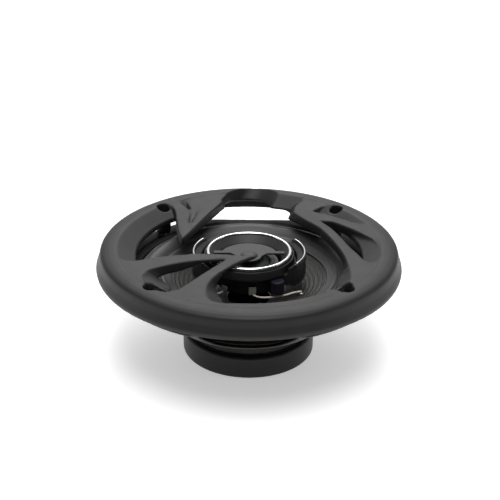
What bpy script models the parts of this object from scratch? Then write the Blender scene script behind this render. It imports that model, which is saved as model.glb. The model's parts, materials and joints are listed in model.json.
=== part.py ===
"""Two-way coaxial car speaker, 165 mm class, with a claw grille.

Metres, +Z up along the speaker's axis. The origin is the centre of the magnet boot's flat bottom,
the grille faces +Z. Sizes below are in millimetres and are scaled once, by MM.
"""
import math

import bmesh
import bpy
import numpy as np
from mathutils import Matrix, Vector

MM = 0.001

# Driving dimensions, millimetres
GRILLE_RADIUS = 90.0
GRILLE_BOTTOM = 54.4
CROWN_RADIUS = 79.0
CROWN_TOP = 68.0
RING_INNER_RADIUS = 66.5
RING_LIP_TOP = 63.0
RING_LIP_BOTTOM = 59.6
BACK_LIP_BOTTOM = 61.4
ARM_LAYER_RADIUS = 81.0
FACE_HEIGHT = 67.0
FLARE_FOOT = 61.2
HOLLOW_FLOOR = 64.2
SCREW_CIRCLE_RADIUS = 76.5
SCREW_HOLE_RADIUS = 2.3
SCREW_WELL_RADIUS = 3.9
SCREW_ANGLES = (45.0, 135.0, 225.0, 315.0)

FLANGE_RADIUS = 82.0
FLANGE_HALF_WIDTH = 75.0
FLANGE_BOTTOM = 48.2
FLANGE_TOP = 49.6
LANDING_TOP = 47.0
BASKET_FLOOR = 18.4
BASKET_FLOOR_TOP = 19.8
SPIDER_LEDGE_TOP = 26.8
WINDOW_ANGLES = (0.0, 90.0, 180.0, 270.0)
WINDOW_WIDTH = 62.0

BOOT_RADIUS = 39.4
BOOT_TOP = 13.9
PLATE_RADIUS = 36.0
POLE_RADIUS = 12.2
BOLT_RADIUS = 2.0
COIL_INNER_RADIUS = 12.9
CONE_NECK_RADIUS = 13.6
CONE_EDGE_RADIUS = 52.0
CONE_THICKNESS = 0.9

POD_RADIUS = 26.6
POD_TOP = 62.6
WING_RADIUS = 28.0
WING_OFFSET = 5.5
WING_HALF_SPAN = 17.4
WING_BOTTOM = 50.0
WING_TOP = 63.4
TRIM_RADIUS = 24.2
TRIM_TOP = 64.6
DOME_RADIUS = 12.4
GAP = 0.3

PART_COLLECTION = "coaxial_speaker"
CUTTER_COLLECTION = "cutters"


# ---------------------------------------------------------------- scene and materials

def clear_scene():
    for old in list(bpy.data.objects):
        bpy.data.objects.remove(old, do_unlink=True)
    for name in (PART_COLLECTION, CUTTER_COLLECTION):
        collection = bpy.data.collections.new(name)
        bpy.context.scene.collection.children.link(collection)


def material(name, colour, roughness, metallic=0.0):
    made = bpy.data.materials.get(name) or bpy.data.materials.new(name)
    made.use_nodes = True
    shader = made.node_tree.nodes["Principled BSDF"]
    shader.inputs["Base Color"].default_value = (*colour, 1.0)
    shader.inputs["Roughness"].default_value = roughness
    shader.inputs["Metallic"].default_value = metallic
    made.diffuse_color = (*colour, 1.0)
    return made


def register(obj, mat=None):
    """Put an object in the part collection, or in the cutter collection when it has no material."""
    for collection in list(obj.users_collection):
        collection.objects.unlink(obj)
    if mat is None:
        bpy.data.collections[CUTTER_COLLECTION].objects.link(obj)
        obj.hide_render = True
        obj.display_type = "WIRE"
    else:
        bpy.data.collections[PART_COLLECTION].objects.link(obj)
        obj.data.materials.clear()
        obj.data.materials.append(mat)
    return obj


# ---------------------------------------------------------------- shape helpers

def polar(radius, degrees, z=0.0):
    angle = math.radians(degrees)
    return Vector((radius * math.cos(angle), radius * math.sin(angle), z))


def turned(name, profile, mat=None, steps=32, closed=True, at=(0.0, 0.0, 0.0)):
    """A profile of (radius, height) turned about Z; it runs down the outer side, top to bottom."""
    mesh = bpy.data.meshes.new(name)
    points = [(radius * MM, 0.0, height * MM) for radius, height in profile]
    edges = [(i, i + 1) for i in range(len(points) - 1)]
    if closed:
        edges.append((len(points) - 1, 0))
    mesh.from_pydata(points, edges, [])
    obj = bpy.data.objects.new(name, mesh)
    obj.location = Vector(at) * MM
    screw = obj.modifiers.new("turn", "SCREW")
    screw.steps = steps
    screw.render_steps = steps
    screw.use_merge_vertices = True
    screw.merge_threshold = 0.00001
    screw.use_smooth_shade = True
    return register(obj, mat)


def disc(name, radius, low, high, mat=None, steps=24, at=(0.0, 0.0)):
    profile = [(0.0, high), (radius, high), (radius, low), (0.0, low)]
    return turned(name, profile, mat, steps, closed=False, at=(at[0], at[1], 0.0))


def washer(name, outer, inner, low, high, mat=None, steps=32):
    profile = [(outer, high), (outer, low), (inner, low), (inner, high)]
    return turned(name, profile, mat, steps)


def box(name, size, centre, mat=None, turn=0.0, bevel=0.0):
    mesh = bpy.data.meshes.new(name)
    cube = bmesh.new()
    bmesh.ops.create_cube(cube, size=1.0)
    scale = Matrix.Diagonal((size[0] * MM, size[1] * MM, size[2] * MM, 1.0))
    bmesh.ops.transform(cube, matrix=scale, verts=cube.verts)
    cube.to_mesh(mesh)
    cube.free()
    obj = bpy.data.objects.new(name, mesh)
    obj.location = Vector(centre) * MM
    obj.rotation_euler = (0.0, 0.0, math.radians(turn))
    if bevel:
        rounding = obj.modifiers.new("edges", "BEVEL")
        rounding.width = bevel * MM
        rounding.segments = 1
    return register(obj, mat)


def smooth_stroke(points, per_span=3):
    """Points along a Catmull-Rom curve through the given points, ends included."""
    pts = [np.array(p, float) for p in points]
    padded = [2 * pts[0] - pts[1]] + pts + [2 * pts[-1] - pts[-2]]
    out = []
    for before, start, end, after in zip(padded, padded[1:], padded[2:], padded[3:]):
        for step in range(per_span):
            t = step / per_span
            cubic = (-before + 3 * start - 3 * end + after) * t ** 3
            square = (2 * before - 5 * start + 4 * end - after) * t ** 2
            out.append(0.5 * (2 * start + (end - before) * t + square + cubic))
    out.append(pts[-1])
    return [tuple(p) for p in out]


def arc(radius, first, last, count, centre=(0.0, 0.0)):
    """Points on a circular arc, from the first to the last angle in degrees."""
    angles = [first + (last - first) * i / (count - 1) for i in range(count)]
    return [(centre[0] + radius * math.cos(math.radians(a)),
             centre[1] + radius * math.sin(math.radians(a))) for a in angles]


def prism(name, outline, low, high, mat=None):
    """A closed plan outline, made as a filled 2D curve and extruded between two heights."""
    curve = bpy.data.curves.new(name + "_outline", "CURVE")
    curve.dimensions = "2D"
    curve.fill_mode = "BOTH"
    curve.extrude = 0.5 * (high - low) * MM
    spline = curve.splines.new("POLY")
    spline.points.add(len(outline) - 1)
    for point, place in zip(spline.points, outline):
        point.co = (place[0] * MM, place[1] * MM, 0.0, 1.0)
    spline.use_cyclic_u = True
    flat = bpy.data.objects.new(name + "_outline", curve)
    bpy.context.scene.collection.objects.link(flat)
    bpy.context.view_layer.update()
    solid = bpy.data.meshes.new_from_object(flat.evaluated_get(bpy.context.evaluated_depsgraph_get()))
    bpy.data.objects.remove(flat, do_unlink=True)
    weld = bmesh.new()
    weld.from_mesh(solid)
    bmesh.ops.remove_doubles(weld, verts=weld.verts, dist=0.000001)
    bmesh.ops.recalc_face_normals(weld, faces=weld.faces)
    weld.to_mesh(solid)
    weld.free()
    solid.name = name
    obj = bpy.data.objects.new(name, solid)
    obj.location = (0.0, 0.0, 0.5 * (high + low) * MM)
    return register(obj, mat)


def wire(name, route, thickness, mat, per_span=4, sides=2):
    """A round lead along a smooth curve through its route points."""
    points = smooth_stroke(route, per_span)
    curve = bpy.data.curves.new(name, "CURVE")
    curve.dimensions = "3D"
    curve.bevel_depth = 0.5 * thickness * MM
    curve.bevel_resolution = sides
    curve.use_fill_caps = True
    spline = curve.splines.new("POLY")
    spline.points.add(len(points) - 1)
    for point, place in zip(spline.points, points):
        point.co = (place[0] * MM, place[1] * MM, place[2] * MM, 1.0)
    return register(bpy.data.objects.new(name, curve), mat)


def boolean(target, cutter, operation="DIFFERENCE"):
    step = target.modifiers.new(cutter.name, "BOOLEAN")
    step.operation = operation
    step.solver = "EXACT"
    step.object = cutter


# ---------------------------------------------------------------- grille

# Plan outline of the free space that winds between the three claws, at the grille's face
FRONT_CLAW_LOWER_EDGE = [(4.0, -13.8), (-4.5, -21.0), (-11.0, -28.0), (-16.5, -35.5), (-20.8, -43.0),
                         (-23.3, -50.5), (-23.6, -58.0), (-21.8, -65.3), (-17.5, -69.3), (-12.0, -70.5)]
RIGHT_CLAW_INNER_EDGE = [(47.0, -52.3), (54.0, -47.5), (56.8, -40.5), (57.2, -31.0), (55.5, -13.5),
                         (50.5, 6.0), (43.0, 25.5), (34.0, 38.0), (27.6, 48.5)]
RIGHT_CLAW_BACK_EDGE = [(27.6, 48.5), (28.0, 54.0), (29.5, 60.0), (33.0, 66.0), (33.8, 70.5), (32.0, 75.5)]
BACK_CLAW_RIGHT_EDGE = [(-4.1, 78.4), (-10.5, 73.5), (-16.5, 64.0), (-22.5, 52.0), (-28.0, 38.5),
                        (-33.0, 25.0), (-37.5, 13.5), (-40.0, 9.0)]
BACK_CLAW_LEFT_EDGE = [(-40.0, 9.0), (-42.5, 17.0), (-44.5, 32.0), (-46.5, 48.0), (-50.5, 60.0)]
FRONT_CLAW_UPPER_EDGE = [(-77.0, -13.0), (-71.5, -20.0), (-65.5, -20.3), (-56.5, -16.0), (-45.5, -13.0),
                         (-33.0, -11.2), (-20.0, -11.4), (-8.0, -12.8), (4.0, -13.8)]
CREST_OF_OPENINGS = 78.5
FRONT_EDGE_RADIUS = 70.4

FRONT_CLAW_HOLE = ([(-58.5, -46.0), (-59.5, -39.5), (-56.0, -31.5), (-45.5, -25.3), (-33.5, -20.8),
                    (-13.2, -18.0)],
                   [(-13.2, -18.0), (-19.5, -26.8), (-25.5, -34.5), (-31.5, -43.5), (-38.8, -54.5)],
                   [(-38.8, -54.5), (-45.0, -58.5), (-54.0, -55.0), (-58.5, -46.0)])
RIGHT_CLAW_HOLE = ([(43.3, 37.5), (50.4, 35.6), (56.4, 30.4), (62.1, 24.7), (67.8, 17.6), (74.0, 9.0),
                    (76.4, -2.0)],
                   [(76.4, -2.0), (75.6, -12.0), (72.0, -19.5), (67.5, -18.5), (63.5, -8.3),
                    (60.2, -1.0), (55.5, 12.6), (50.0, 26.5), (43.3, 37.5)])
RIGHT_CLAW_HOLLOW = [(39.5, 51.1), (44.9, 47.9), (50.9, 44.8), (56.9, 40.0), (62.8, 35.0), (68.5, 30.5),
                     (73.0, 27.8)]
BACK_CLAW_SLOT = ([(-36.0, 49.5), (-38.6, 58.0), (-41.5, 68.5)],
                  [(-41.5, 68.5), (-45.0, 65.5), (-41.0, 57.0), (-36.0, 49.5)])
BACK_CLAW_FACET = [(-36.8, 46.0), (-39.6, 58.0), (-42.0, 68.0), (-34.0, 74.8), (-23.0, 74.0),
                   (-25.2, 65.1), (-31.5, 49.6), (-35.0, 34.0), (-36.4, 29.0), (-37.2, 36.0)]
FACET_PIVOT = (-38.0, 48.0)
FACET_FLOOR = 66.1
FACET_TILT = (3.4, -2.4)

# Walls that run out below the face: the middle of each stretch, its reach and how far its foot moves
OPENING_FLARES = (((-24.0, -60.0), 15.0, (9.5, 2.0)), ((57.0, -40.0), 18.0, (-8.0, 2.0)),
                  ((27.6, 48.5), 8.0, (-3.5, 3.0)), ((33.5, 69.0), 10.0, (-12.0, 1.0)))
FRONT_HOLE_FLARES = (((-58.0, -46.0), 14.0, (15.0, 5.0)),)
RIGHT_HOLE_FLARES = (((73.0, -14.0), 14.0, (-5.0, 11.0)),)

# Scoop in the back of the ring: its arched foot, and its wider top that is steeper on the left
SCOOP_FOOT = (14.0, (-1.7, 67.0), 60.9)
SCOOP_TOP = (22.0, (-1.2, 66.0), 68.8)
SCOOP_LEFT_SHARE = 0.77
SCOOP_RIGHT_SHARE = 0.9
SCOOP_LEAN = 0.25

# Screw wells at the front are drawn out towards the middle and into a pointed tail
WELL_TAILS = {225.0: ((-53.6, -48.6), (-42.5, -53.6)), 315.0: ((53.8, -47.2), (46.5, -52.2))}


def joined(*strokes):
    """One closed outline from strokes that share their end points."""
    outline = []
    for stroke in strokes:
        outline.extend(smooth_stroke(stroke)[:-1])
    return outline


def claw_openings_outline():
    """The one free space that winds between the claws' tips and the ring."""
    crest = CREST_OF_OPENINGS
    return (smooth_stroke(FRONT_CLAW_LOWER_EDGE) + arc(FRONT_EDGE_RADIUS, -92.0, -56.0, 8)
            + smooth_stroke(RIGHT_CLAW_INNER_EDGE)[:-1] + smooth_stroke(RIGHT_CLAW_BACK_EDGE)
            + arc(ARM_LAYER_RADIUS + 1.0, 69.0, 92.0, 5)
            + smooth_stroke(BACK_CLAW_RIGHT_EDGE)[:-1] + smooth_stroke(BACK_CLAW_LEFT_EDGE)
            + arc(crest, 134.0, 184.0, 9) + smooth_stroke(FRONT_CLAW_UPPER_EDGE)[:-1])


def flared(outline, flares):
    """The outline with its points moved by each flare, most at the flare's middle."""
    moved = []
    for x, y in outline:
        dx = dy = 0.0
        for (middle_x, middle_y), reach, (shift_x, shift_y) in flares:
            pull = math.exp(-((x - middle_x) ** 2 + (y - middle_y) ** 2) / reach ** 2)
            dx += pull * shift_x
            dy += pull * shift_y
        moved.append((x + dx, y + dy))
    return moved


def loft(name, sections):
    """A closed cutter through plan outlines of equal point count, each with its height, lowest first."""
    solid = bmesh.new()
    rings = [[solid.verts.new((x * MM, y * MM, height * MM)) for x, y in outline]
             for outline, height in sections]
    for lower, upper in zip(rings, rings[1:]):
        for i in range(len(lower)):
            after = (i + 1) % len(lower)
            solid.faces.new((lower[i], lower[after], upper[after], upper[i]))
    solid.faces.new(rings[0])
    solid.faces.new(rings[-1])
    bmesh.ops.recalc_face_normals(solid, faces=solid.faces)
    mesh = bpy.data.meshes.new(name)
    solid.to_mesh(mesh)
    solid.free()
    return register(bpy.data.objects.new(name, mesh))


def flared_cutter(name, outline, flares):
    foot = flared(outline, flares)
    return loft(name, [(foot, 55.0), (foot, FLARE_FOOT), (outline, FACE_HEIGHT), (outline, 72.0)])


def grille_arms():
    """The domed layer that the three claws are cut from, thin over the tweeter."""
    layer = turned("arm_layer", [
        (0.0, 67.8), (22.0, 67.6), (45.0, 67.0), (60.0, 66.8), (72.0, 67.3), (ARM_LAYER_RADIUS, 67.4),
        (ARM_LAYER_RADIUS, 61.9), (60.0, 60.4), (46.0, 60.9), (38.0, 62.8), (34.2, 65.0), (0.0, 65.3),
    ], steps=56, closed=False)
    boolean(layer, flared_cutter("claw_openings", claw_openings_outline(), OPENING_FLARES))
    boolean(layer, flared_cutter("front_claw_hole", joined(*FRONT_CLAW_HOLE), FRONT_HOLE_FLARES))
    boolean(layer, flared_cutter("right_claw_hole", joined(*RIGHT_CLAW_HOLE), RIGHT_HOLE_FLARES))
    hollow = smooth_stroke(RIGHT_CLAW_HOLLOW) + arc(ARM_LAYER_RADIUS + 0.7, 22.0, 50.0, 7)
    boolean(layer, prism("right_claw_hollow", hollow, HOLLOW_FLOOR, 72.0))
    boolean(layer, prism("back_claw_slot", joined(*BACK_CLAW_SLOT), 64.6, 72.0))
    pivot_x, pivot_y = FACET_PIVOT
    facet = prism("back_claw_facet", [(x - pivot_x, y - pivot_y) for x, y in BACK_CLAW_FACET], 0.0, 8.0)
    facet.data.transform(Matrix.Translation((0.0, 0.0, 4.0 * MM)))
    facet.location = Vector((pivot_x, pivot_y, FACET_FLOOR)) * MM
    facet.rotation_euler = (math.radians(FACET_TILT[0]), math.radians(FACET_TILT[1]), 0.0)
    boolean(layer, facet)
    return layer


def scoop():
    """Cutter for the arched hollow between the back claw's edge and the ring's crest."""
    foot_radius, foot_centre, foot_height = SCOOP_FOOT
    top_radius, top_centre, top_height = SCOOP_TOP
    foot = arc(foot_radius, 0.0, 350.0, 36, foot_centre)
    top = []
    for x, y in arc(top_radius, 0.0, 350.0, 36):
        share = SCOOP_RIGHT_SHARE if x > 0.0 else SCOOP_LEFT_SHARE
        top.append((top_centre[0] + share * x + SCOOP_LEAN * max(y, 0.0), top_centre[1] + y))
    return loft("back_scoop", [(foot, 55.6), (foot, foot_height), (top, top_height)])


def screw_well(angle):
    """Round well over a screw; a front one is drawn out to its tail."""
    x, y = polar(SCREW_CIRCLE_RADIUS, angle)[:2]
    well = disc(f"screw_well_{angle:.0f}", SCREW_WELL_RADIUS, 57.5, 72.0, steps=20, at=(x, y))
    if angle in WELL_TAILS:
        (end_x, end_y), tip = WELL_TAILS[angle]
        side = 1.0 if tip[0] > end_x else -1.0
        throat = [(x - side * 3.4, y), (end_x - side * 3.2, end_y + 1.0), (end_x, end_y + 3.2),
                  (end_x + side * 3.0, end_y + 1.6), tip, (x + side * 1.8, y - 3.4)]
        boolean(well, prism(f"well_tail_{angle:.0f}", throat, 58.3, 71.0), "UNION")
    return well


def make_grille(mat):
    """Ring with a crowned face and a skirt, three claws, and four bosses with screw wells."""
    ring = turned("grille_cover", [
        (CROWN_RADIUS, CROWN_TOP), (82.2, 67.8), (85.0, 67.25), (86.9, 66.4), (87.5, 65.2), (88.4, 61.0),
        (GRILLE_RADIUS, 56.7), (GRILLE_RADIUS - 0.4, GRILLE_BOTTOM), (83.2, GRILLE_BOTTOM),
        (82.2, 60.2), (76.0, 61.2), (68.2, 60.6), (RING_INNER_RADIUS + 1.2, RING_LIP_BOTTOM),
        (RING_INNER_RADIUS, RING_LIP_BOTTOM),
        (RING_INNER_RADIUS, RING_LIP_TOP), (67.4, 63.2), (76.2, 67.3), (77.6, 67.9),
    ], mat, steps=56)
    boolean(ring, box("back_lip_relief", (49.0, 23.0, 6.4), (4.0, 61.5, BACK_LIP_BOTTOM - 3.2)))
    boolean(ring, grille_arms(), "UNION")
    boolean(ring, scoop())
    for index, angle in enumerate(SCREW_ANGLES):
        place = polar(SCREW_CIRCLE_RADIUS, angle)
        boss = disc(f"boss_{index}", 4.7, FLANGE_TOP + GAP, 63.5, steps=20, at=place[:2])
        boolean(ring, boss, "UNION")
        boolean(ring, screw_well(angle))
        bore = disc(f"screw_bore_{index}", SCREW_HOLE_RADIUS, 45.0, 58.5, steps=16, at=place[:2])
        boolean(ring, bore)
    return ring


# ---------------------------------------------------------------- basket and suspension

def make_basket(mat):
    """Pressed frame: floor on the magnet, spider ledge, windowed cone wall, surround seat, flange."""
    basket = turned("basket_frame", [
        (FLANGE_RADIUS, FLANGE_TOP), (FLANGE_RADIUS, FLANGE_BOTTOM), (73.0, FLANGE_BOTTOM),
        (72.4, 45.6), (66.0, 45.6), (63.4, 44.2), (50.6, 27.4), (49.2, 25.4), (42.0, 25.4),
        (40.0, 20.4), (38.6, BASKET_FLOOR), (17.5, BASKET_FLOOR), (17.5, BASKET_FLOOR_TOP),
        (37.6, BASKET_FLOOR_TOP), (38.8, 21.0), (40.8, SPIDER_LEDGE_TOP), (48.4, SPIDER_LEDGE_TOP),
        (49.4, 28.2), (62.4, 45.6), (65.2, LANDING_TOP), (71.2, LANDING_TOP), (71.8, FLANGE_TOP),
    ], mat, steps=40)
    for index, angle in enumerate(WINDOW_ANGLES):
        middle = polar(57.0, angle, 35.3)
        window = box(f"basket_window_{index}", (30.0, WINDOW_WIDTH, 16.6), middle, turn=angle, bevel=4.0)
        boolean(basket, window)
        trim = polar(FLANGE_HALF_WIDTH + 10.0, angle, 48.0)
        boolean(basket, box(f"flange_side_{index}", (20.0, 120.0, 8.0), trim, turn=angle))
    for index, angle in enumerate(SCREW_ANGLES):
        place = polar(SCREW_CIRCLE_RADIUS, angle)
        boolean(basket, disc(f"flange_hole_{index}", SCREW_HOLE_RADIUS, 44.0, 53.0, steps=16, at=place[:2]))
        rivet = polar(27.0, angle)
        boolean(basket, disc(f"rivet_hole_{index}", 1.8, 16.0, 22.0, steps=12, at=rivet[:2]))
    return basket


def make_surround(mat):
    half = 0.5
    middle = [(46.5, 48.35), (51.8, 50.15), (53.3, 49.0), (56.0, 51.4), (60.0, 52.7),
              (63.6, 51.3), (66.4, 47.8), (70.8, 47.8)]
    top = [(radius, height + half) for radius, height in middle]
    under = [(radius, height - half) for radius, height in middle]
    return turned("surround", list(reversed(under)) + top, mat, steps=40)


def make_spider(mat):
    """Corrugated disc from the voice coil former out to the basket's ledge."""
    half = 0.3
    middle = [(CONE_NECK_RADIUS, 29.5), (17.0, 29.5)]
    for fold in range(6):
        middle.append((20.0 + 3.2 * fold, 29.5 + (1.2 if fold % 2 == 0 else -1.2)))
    middle += [(39.0, 29.2), (41.6, 27.5), (47.6, 27.5)]
    top = [(radius, height + half) for radius, height in middle]
    under = [(radius, height - half) for radius, height in middle]
    return turned("spider", list(reversed(under)) + top, mat, steps=28)


def cone_height(radius):
    """Mid-surface height of the woofer cone, a little steeper at the neck."""
    span = (radius - CONE_NECK_RADIUS) / (CONE_EDGE_RADIUS - CONE_NECK_RADIUS)
    return 33.4 + 15.6 * span ** 0.85


def make_cone(mat):
    radii = [CONE_NECK_RADIUS, 20.0, 30.0, 41.0, CONE_EDGE_RADIUS]
    top = [(radius, cone_height(radius) + 0.5 * CONE_THICKNESS) for radius in radii]
    under = [(radius, cone_height(radius) - 0.5 * CONE_THICKNESS) for radius in reversed(radii)]
    return turned("woofer_cone", top + under, mat, steps=40)


# ---------------------------------------------------------------- magnet motor

def make_motor(steel, ferrite, boot_mat, fibre, copper):
    turned("magnet_boot", [
        (0.0, 1.5), (36.4, 1.5), (36.4, BOOT_TOP), (37.4, BOOT_TOP), (38.9, 13.3),
        (BOOT_RADIUS, 12.2), (BOOT_RADIUS, 0.8), (38.7, 0.0), (0.0, 0.0),
    ], boot_mat, steps=48, closed=False)
    turned("t_yoke", [
        (BOLT_RADIUS + GAP, 18.0), (POLE_RADIUS, 18.0), (POLE_RADIUS, 5.8), (PLATE_RADIUS, 5.8),
        (PLATE_RADIUS, 1.8), (4.6, 1.8), (4.6, 4.9), (BOLT_RADIUS + GAP, 4.9),
    ], steel, steps=36)
    washer("magnet_ring", PLATE_RADIUS, 18.0, 6.1, 13.6, ferrite, steps=36)
    washer("top_plate", PLATE_RADIUS, 14.6, 13.9, 18.1, steel, steps=36)
    washer("voice_coil_former", COIL_INNER_RADIUS + 0.3, COIL_INNER_RADIUS, 11.8, 33.6, fibre)
    washer("voice_coil_winding", COIL_INNER_RADIUS + 1.0, COIL_INNER_RADIUS + 0.32, 12.0, 20.6, copper)


def make_rivets(zinc):
    """Four rivets that hold the basket's floor down on the top plate."""
    for index, angle in enumerate(SCREW_ANGLES):
        place = polar(27.0, angle)
        turned(f"basket_rivet_{index + 1}", [(0.0, 21.2), (1.6, 21.0), (2.6, 20.1), (1.4, 20.1),
                                             (1.4, BASKET_FLOOR), (0.0, BASKET_FLOOR)],
               zinc, steps=12, closed=False, at=place)


# ---------------------------------------------------------------- tweeter

def make_pod(mat):
    """Cup over the cone that holds the tweeter, with a crescent wing on either side."""
    pod = turned("tweeter_pod", [
        (POD_RADIUS, POD_TOP), (POD_RADIUS, 56.8), (21.0, 55.4), (20.4, 46.0), (19.0, 44.6),
        (9.0, 42.4), (BOLT_RADIUS + GAP, 42.4), (BOLT_RADIUS + GAP, 44.0), (8.5, 44.0), (18.6, 46.4),
        (19.2, 57.4), (25.5, 57.6), (25.5, POD_TOP),
    ], mat, steps=36)
    for name, side, turn in (("left", -1.0, 180.0), ("right", 1.0, 0.0)):
        centre = (side * WING_OFFSET, 0.0)
        reach = math.degrees(math.asin(WING_HALF_SPAN / WING_RADIUS))
        inner_reach = math.degrees(math.asin(WING_HALF_SPAN / 19.9))
        outline = (arc(WING_RADIUS, turn - reach, turn + reach, 13, centre)
                   + arc(19.9, turn + inner_reach, turn - inner_reach, 13))
        wing = prism(f"wing_{name}", outline, WING_BOTTOM, WING_TOP)
        boolean(wing, disc(f"wing_groove_{name}", 28.2, 57.1, 66.0, steps=36))
        tray = turned(f"wing_tray_{name}", [(0.0, 67.0), (26.5, 67.0), (26.5, 62.3), (22.0, 60.2),
                                            (0.0, 60.2)],
                      steps=40, closed=False, at=(centre[0], centre[1], 0.0))
        boolean(wing, tray)
        boolean(pod, wing, "UNION")
    return pod


def make_wing_trims(mat):
    """Bright line along the top edge of each wing."""
    reach = math.degrees(math.asin((WING_HALF_SPAN - 0.6) / WING_RADIUS))
    for name, side, turn in (("left", -1.0, 180.0), ("right", 1.0, 0.0)):
        outer = arc(WING_RADIUS - 0.4, turn - reach, turn + reach, 15, (side * WING_OFFSET, 0.0))
        inner = arc(WING_RADIUS - 1.2, turn + reach, turn - reach, 15, (side * WING_OFFSET, 0.0))
        prism(f"wing_trim_{name}", outer + inner, WING_TOP + GAP, WING_TOP + 0.9, mat)


HUB_PLACE = (0.0, -4.6)


def make_tweeter(plastic, bright, silk, steel, neodymium, copper):
    turned("tweeter_housing", [
        (25.2, 63.4), (25.2, 58.0), (19.0, 58.0), (19.0, 59.6), (23.2, 63.4),
    ], plastic, steps=40)
    turned("tweeter_trim_ring", [
        (TRIM_RADIUS, TRIM_TOP), (TRIM_RADIUS + 0.7, TRIM_TOP - 0.15), (TRIM_RADIUS + 0.9, 63.7),
        (TRIM_RADIUS - 0.9, 63.7), (TRIM_RADIUS - 0.7, TRIM_TOP - 0.15),
    ], bright, steps=48)
    bridge_plan = (arc(17.8, 34.0, 146.0, 15, (0.0, -5.9)) + [(-16.0, 1.6), (-20.9, 1.6), (-20.9, -1.4),
                   (-11.0, -1.4)] + arc(7.4, 185.0, 355.0, 13, HUB_PLACE)
                   + [(11.0, -1.4), (20.9, -1.4), (20.9, 1.6), (16.0, 1.6)])
    prism("tweeter_bridge", bridge_plan, 61.9, 63.1, plastic)
    turned("tweeter_hub_cap", [(0.0, 64.6), (3.0, 64.4), (5.0, 63.4), (0.0, 63.4)], plastic, steps=24,
           closed=False, at=(*HUB_PLACE, 0.0))
    turned("tweeter_surround", [
        (17.3, 57.4), (17.3, 57.0), (15.2, 57.0), (14.0, 57.4), (12.5, 56.7),
        (12.5, 57.1), (14.0, 57.8), (15.3, 57.4),
    ], silk, steps=28)
    dome = [(DOME_RADIUS * math.sin(math.radians(a)), 55.5 + 4.6 * math.cos(math.radians(a)))
            for a in (0, 25, 50, 75)]
    inner = [(radius * 0.97, height - 0.4) for radius, height in reversed(dome)]
    turned("tweeter_dome", dome + inner[:-1] + [(0.0, inner[-1][1])], silk, steps=28, closed=False)
    washer("tweeter_voice_coil", 12.0, 11.7, 51.6, 55.9, copper, steps=24)
    turned("tweeter_cup", [
        (0.0, 48.6), (12.8, 48.6), (12.8, 54.6), (15.4, 54.6), (15.4, 47.0), (0.0, 47.0),
    ], steel, steps=24, closed=False)
    disc("tweeter_magnet", 10.6, 48.9, 52.0, neodymium)
    disc("tweeter_top_plate", 11.2, 52.3, 54.0, steel)


# ---------------------------------------------------------------- post, wiring and terminals

def make_post(plastic, zinc):
    """Post from the pole to the pod, with the bolt that clamps them and its nut."""
    turned("tweeter_post", [
        (7.2, 42.1), (6.2, 40.5), (6.2, 20.5), (7.6, 18.3), (BOLT_RADIUS + GAP, 18.3),
        (BOLT_RADIUS + GAP, 42.1),
    ], plastic, steps=24)
    turned("post_bolt", [
        (0.0, 46.6), (BOLT_RADIUS, 46.6), (BOLT_RADIUS, 4.6), (4.2, 4.6), (4.2, 2.2), (0.0, 2.2),
    ], zinc, steps=16, closed=False)
    washer("post_nut", 3.8, BOLT_RADIUS + 0.5, 44.3, 46.2, zinc, steps=6)


TABS = {"right": (-84.5, 48.6), "left": (-130.0, 47.0)}
CAPACITOR_PLACE = (16.5, -21.9, 0.0)
EYELET_PLACES = {"right": (30.6, -15.6), "left": (-30.6, -15.6)}
TWEETER_LEAD_ROUTES = {
    "right": [(2.6, -23.3, 46.8), (6.5, -24.2, 45.8), (13.5, -23.3, 45.5), (21.5, -20.8, 45.7),
              (26.6, -18.0, 46.2), (29.8, -16.0, 46.3)],
    "left": [(-14.9, -18.4, 46.4), (-17.4, -19.4, 45.6), (-22.0, -19.2, 45.4), (-26.8, -17.6, 46.0),
             (-30.0, -16.0, 46.3)],
}


def make_tweeter_wiring(metal, braid, sleeve):
    """Crossover capacitor, two solder tabs on the pod, and leads to the eyelets on the cone."""
    turned("crossover_capacitor", [
        (0.0, 56.0), (3.4, 56.0), (4.1, 55.4), (4.1, 48.4), (3.4, 47.8), (0.0, 47.8),
    ], sleeve, steps=16, closed=False, at=CAPACITOR_PLACE)
    for side, (angle, height) in TABS.items():
        box(f"solder_tab_{side}", (0.7, 4.4, 5.2), polar(21.9, angle, height), metal, turn=angle)
        x, y = EYELET_PLACES[side]
        seat = cone_height(math.hypot(x, y) + 2.0) + 0.5 * CONE_THICKNESS + GAP
        disc(f"cone_eyelet_{side}", 1.8, seat, seat + 0.8, metal, steps=12, at=(x, y))
        wire(f"tweeter_lead_{side}", TWEETER_LEAD_ROUTES[side], 1.2, braid)


TERMINALS = {"positive": (-6.5, 4.8), "negative": (6.5, 2.8)}
EAR_TOP = 26.8
BOARD_TOP = 28.7


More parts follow.
